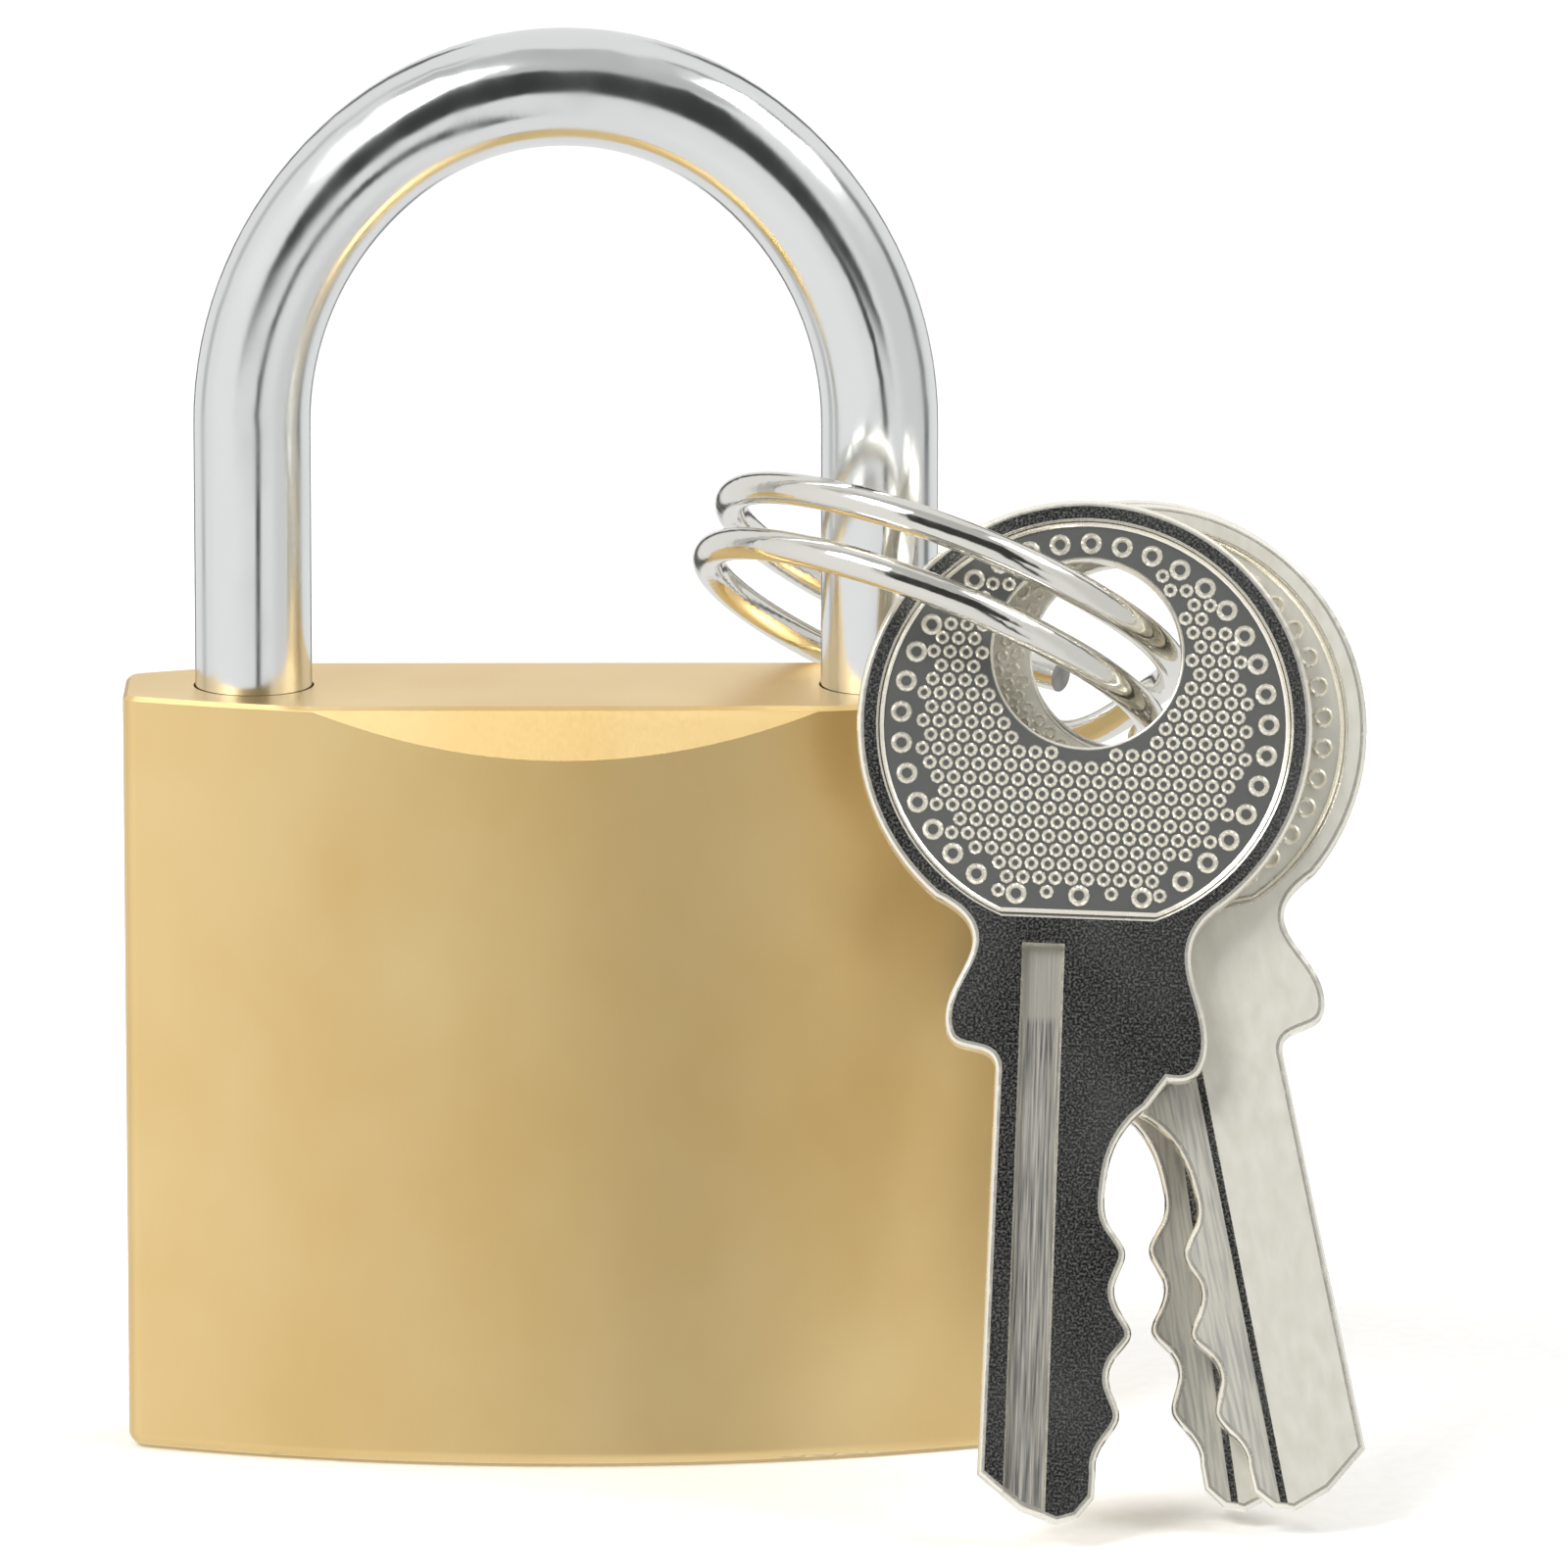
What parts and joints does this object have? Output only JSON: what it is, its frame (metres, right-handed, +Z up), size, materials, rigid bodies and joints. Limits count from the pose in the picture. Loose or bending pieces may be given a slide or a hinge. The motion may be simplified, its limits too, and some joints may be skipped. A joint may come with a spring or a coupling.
{
  "type": "padlock",
  "caption": "Upright brass padlock with gently bulged faces, a round plated shackle, and a split ring of flat keys hung on a leg.",
  "frame": {"origin": "centre of the case's bottom face", "axes": "+Z up along the shackle's legs, +X towards the leg that carries the key ring, -Y is the front"},
  "size_m": [0.0558, 0.0312, 0.0648],
  "materials": {
    "satin_brass": "satin, fine upright grain",
    "plain_brass": "turned",
    "chromed_steel": "bright satin plating",
    "nickel_ring": "polished nickel",
    "nickel_key": "nickel plate with a stamped field",
    "steel": "plain"
  },
  "bodies": {
    "case_body": {"case": "satin_brass", "bolt_channel_plug": "satin_brass", "plug_retaining_pin": "steel", "shackle_retaining_pin": "steel", "shackle_spring": "steel", "driver_pin_1": "plain_brass", "driver_pin_2": "plain_brass", "driver_pin_3": "plain_brass", "driver_pin_4": "plain_brass", "pin_spring_1": "steel", "pin_spring_2": "steel", "pin_spring_3": "steel", "pin_spring_4": "steel", "chamber_plug_1": "satin_brass", "chamber_plug_2": "satin_brass", "chamber_plug_3": "satin_brass", "chamber_plug_4": "satin_brass"},
    "plug_body": {"plug": "plain_brass", "drive_pin": "steel", "key_pin_1": "plain_brass", "key_pin_2": "plain_brass", "key_pin_3": "plain_brass", "key_pin_4": "plain_brass"},
    "bolt_body": {"bolt": "steel", "bolt_driver": "plain_brass"},
    "shackle_body": {"shackle": "chromed_steel"},
    "ring_body": {"split_ring": "nickel_ring"},
    "key_front_body": {"key_front": "nickel_key"},
    "key_middle_body": {"key_middle": "nickel_key"},
    "key_back_body": {"key_back": "nickel_key"}
  },
  "joints": [
    {"name": "plug_turn", "type": "hinge", "parent": "case_body", "child": "plug_body", "pos_m": [0, 0, 0.01], "axis": [0, 0, -1], "range_deg": [0, 90]},
    {"name": "bolt_slide", "type": "slide", "parent": "case_body", "child": "bolt_body", "axis": [1, 0, 0], "range_m": [0, 0.0045]},
    {"name": "shackle_lift", "type": "slide", "parent": "case_body", "child": "shackle_body", "axis": [0, 0, 1], "range_m": [0, 0.0102], "deforming": ["shackle_spring"]},
    {"name": "ring_swing", "type": "hinge", "parent": "case_body", "child": "ring_body", "pos_m": [0.01415, 0, 0.038], "axis": [0, 0, 1], "range_deg": [-10, 8]},
    {"name": "key_front_swing", "type": "hinge", "parent": "ring_body", "child": "key_front_body", "pos_m": [0.02278, -0.00929, 0.03794], "axis": [0, -0.9511, 0.309], "range_deg": [-20, 20]},
    {"name": "key_middle_swing", "type": "hinge", "parent": "ring_body", "child": "key_middle_body", "pos_m": [0.02746, -0.00727, 0.03734], "axis": [0, -0.9511, 0.309], "range_deg": [-12, 20]},
    {"name": "key_back_swing", "type": "hinge", "parent": "ring_body", "child": "key_back_body", "pos_m": [0.02681, -0.00519, 0.03716], "axis": [0, -0.9511, 0.309], "range_deg": [-3, 20]}
  ],
  "couplings": [
    {"joint": "bolt_slide", "follows": "plug_turn", "m_per_rad": 0.0028647},
    {"joint": "shackle_lift", "follows": "plug_turn", "m_per_rad": 0.0064935}
  ]
}
